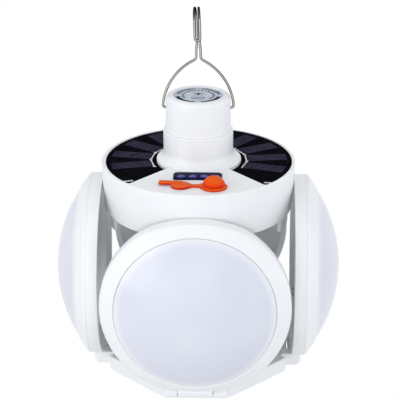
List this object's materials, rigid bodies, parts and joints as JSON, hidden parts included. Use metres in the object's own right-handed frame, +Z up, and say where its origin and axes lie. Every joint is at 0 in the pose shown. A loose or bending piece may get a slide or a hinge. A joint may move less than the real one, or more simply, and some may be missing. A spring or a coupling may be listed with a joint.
{
  "type": "solar lantern",
  "caption": "Hanging solar camping lantern: neck with wire hook, round shoulder with a ring of solar cells, and round lamp leaves that swing out from an octagonal bottom frame.",
  "frame": {"origin": "underside of the hook's wire at the top of its curl, where the lantern hangs, straight above the two bail pivots", "axes": "+Z up along the lantern's axis, -Y towards the power button and charging port, +X to the right seen from there"},
  "size_m": [0.1758, 0.1758, 0.2305],
  "materials": {
    "steel_wire": "polished drawn wire",
    "white_shell": "satin moulded ABS",
    "inner_white": "plain moulded ABS",
    "label_foil": "printed metal foil",
    "panel_black": "black solder mask",
    "solar_cell": "dark blue silicon with fine fingers",
    "cell_silver": "tinned ribbon",
    "panel_clear": "clear epoxy",
    "window_dark": "smoked lens",
    "indicator_blue": "water-clear LED bodies",
    "board_green": "solder mask",
    "screw_steel": "zinc plated",
    "inner_grey": "moulded nylon",
    "orange_rubber": "silicone",
    "battery_wrap": "shrink sleeve",
    "wire_red": "PVC insulation",
    "board_white": "white solder mask on aluminium",
    "led_chip": "phosphor",
    "milky_diffuser": "milky polycarbonate"
  },
  "bodies": {
    "hanging_hook": {"bail_wire": "steel_wire"},
    "lamp_body": {"neck_cap": "white_shell", "cap_label": "label_foil", "shoulder_shell": "white_shell", "solar_backing": "panel_black", "solar_cells": "solar_cell", "cell_tabs": "cell_silver", "solar_cover": "panel_clear", "indicator_window": "window_dark", "indicator_leds": "indicator_blue", "control_board": "board_green", "board_screws": "screw_steel", "charge_socket": "inner_grey", "switch_body": "inner_grey", "rubber_strap": "orange_rubber", "battery_holder": "inner_grey", "battery_cells": "battery_wrap", "battery_contacts": "cell_silver", "shoulder_base": "inner_white", "shoulder_screws": "screw_steel", "centre_column": "inner_white", "column_screws": "screw_steel", "wire_harness": "wire_red", "bottom_frame": "white_shell", "base_board": "board_white", "base_leds": "led_chip", "base_diffuser": "milky_diffuser", "base_cover": "white_shell", "cover_screws": "screw_steel", "front_hinge_pin": "screw_steel", "right_hinge_pin": "screw_steel", "back_hinge_pin": "screw_steel", "left_hinge_pin": "screw_steel"},
    "power_button": {"power_button": "orange_rubber"},
    "port_plug": {"port_plug": "orange_rubber"},
    "front_leaf": {"front_leaf_shell": "white_shell", "front_leaf_ring": "white_shell", "front_leaf_diffuser": "milky_diffuser", "front_leaf_board": "board_white", "front_leaf_leds": "led_chip", "front_leaf_screws": "screw_steel"},
    "right_leaf": {"right_leaf_shell": "white_shell", "right_leaf_ring": "white_shell", "right_leaf_diffuser": "milky_diffuser", "right_leaf_board": "board_white", "right_leaf_leds": "led_chip", "right_leaf_screws": "screw_steel"},
    "back_leaf": {"back_leaf_shell": "white_shell", "back_leaf_ring": "white_shell", "back_leaf_diffuser": "milky_diffuser", "back_leaf_board": "board_white", "back_leaf_leds": "led_chip", "back_leaf_screws": "screw_steel"},
    "left_leaf": {"left_leaf_shell": "white_shell", "left_leaf_ring": "white_shell", "left_leaf_diffuser": "milky_diffuser", "left_leaf_board": "board_white", "left_leaf_leds": "led_chip", "left_leaf_screws": "screw_steel"}
  },
  "joints": [
    {"name": "bail_swing", "type": "hinge", "parent": "hanging_hook", "child": "lamp_body", "pos_m": [0, 0, -0.06026], "axis": [1, 0, 0], "range_deg": [-105, 108]},
    {"name": "front_leaf_swing", "type": "hinge", "parent": "lamp_body", "child": "front_leaf", "pos_m": [0, -0.06094, -0.22106], "axis": [1, 0, 0], "range_deg": [0, 90]},
    {"name": "right_leaf_swing", "type": "hinge", "parent": "lamp_body", "child": "right_leaf", "pos_m": [0.06094, 0, -0.22106], "axis": [0, 1, 0], "range_deg": [0, 90]},
    {"name": "back_leaf_swing", "type": "hinge", "parent": "lamp_body", "child": "back_leaf", "pos_m": [0, 0.06094, -0.22106], "axis": [-1, 0, 0], "range_deg": [0, 90]},
    {"name": "left_leaf_swing", "type": "hinge", "parent": "lamp_body", "child": "left_leaf", "pos_m": [-0.06094, 0, -0.22106], "axis": [0, -1, 0], "range_deg": [0, 90]},
    {"name": "button_press", "type": "slide", "parent": "lamp_body", "child": "power_button", "axis": [0, 0, -1], "range_m": [0, 0.001], "stiffness_N_per_m": 1500},
    {"name": "plug_lift", "type": "slide", "parent": "lamp_body", "child": "port_plug", "axis": [0, 0, 1], "range_m": [0, 0.007]}
  ]
}
